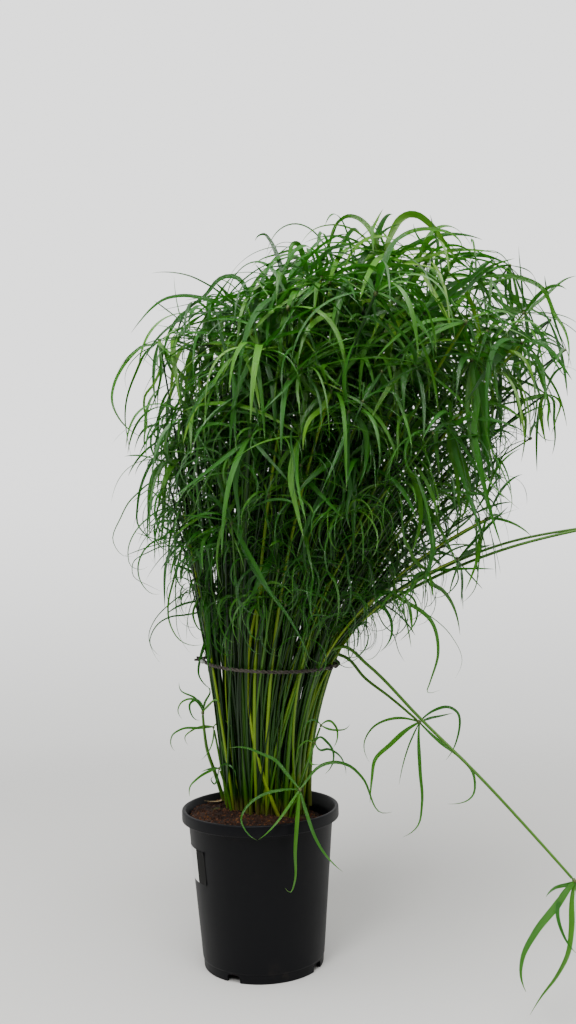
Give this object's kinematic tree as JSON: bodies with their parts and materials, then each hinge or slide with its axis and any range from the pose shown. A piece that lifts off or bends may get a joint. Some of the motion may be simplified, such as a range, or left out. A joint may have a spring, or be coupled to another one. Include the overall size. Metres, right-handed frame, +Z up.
{
  "type": "potted umbrella sedge",
  "caption": "Dense clump of umbrella sedge: tall three-sided stems bound by a twisted tie, whorls of long drooping bracts, in a round black nursery pot.",
  "frame": {"origin": "middle of the pot's underside, on the surface that the pot stands on", "axes": "+Z up, -Y towards the pictured front, so that the long stray stems lean to +X"},
  "size_m": [0.7989, 0.6183, 0.9981],
  "materials": {
    "black_plastic": "satin moulded polypropylene",
    "peat": "rough, crumbly and fibrous",
    "label_paper": "plain coated paper",
    "tie_cord": "dull twisted cord",
    "stem_green": "smooth, slightly waxy living stem",
    "bract_green": "smooth, slightly waxy living leaf"
  },
  "bodies": {
    "root": {"pot": "black_plastic", "soil": "peat", "pot_label": "label_paper", "tie": "tie_cord", "stem_01": "stem_green", "stem_02": "stem_green", "stem_03": "stem_green", "stem_04": "stem_green", "stem_05": "stem_green", "stem_06": "stem_green", "stem_07": "stem_green", "stem_08": "stem_green", "stem_09": "stem_green", "stem_10": "stem_green", "stem_11": "stem_green", "stem_12": "stem_green", "stem_13": "stem_green", "stem_14": "stem_green", "stem_15": "stem_green", "stem_16": "stem_green", "stem_17": "stem_green", "stem_18": "stem_green", "stem_19": "stem_green", "stem_20": "stem_green", "stem_21": "stem_green", "stem_22": "stem_green", "stem_long_1": "stem_green", "stem_long_2": "stem_green", "stem_drooping": "stem_green", "stem_side": "stem_green", "stem_front": "stem_green", "stem_left": "stem_green", "umbrella_01": "bract_green", "umbrella_02": "bract_green", "umbrella_03": "bract_green", "umbrella_04": "bract_green", "umbrella_05": "bract_green", "umbrella_06": "bract_green", "umbrella_07": "bract_green", "umbrella_08": "bract_green", "umbrella_09": "bract_green", "umbrella_10": "bract_green", "umbrella_11": "bract_green", "umbrella_12": "bract_green", "umbrella_13": "bract_green", "umbrella_14": "bract_green", "umbrella_15": "bract_green", "umbrella_16": "bract_green", "umbrella_17": "bract_green", "umbrella_18": "bract_green", "umbrella_19": "bract_green", "umbrella_20": "bract_green", "umbrella_21": "bract_green", "umbrella_22": "bract_green", "umbrella_long_1": "bract_green", "umbrella_long_2": "bract_green", "umbrella_drooping": "bract_green", "umbrella_side": "bract_green", "umbrella_front": "bract_green", "umbrella_left": "bract_green"}
  },
  "joints": []
}
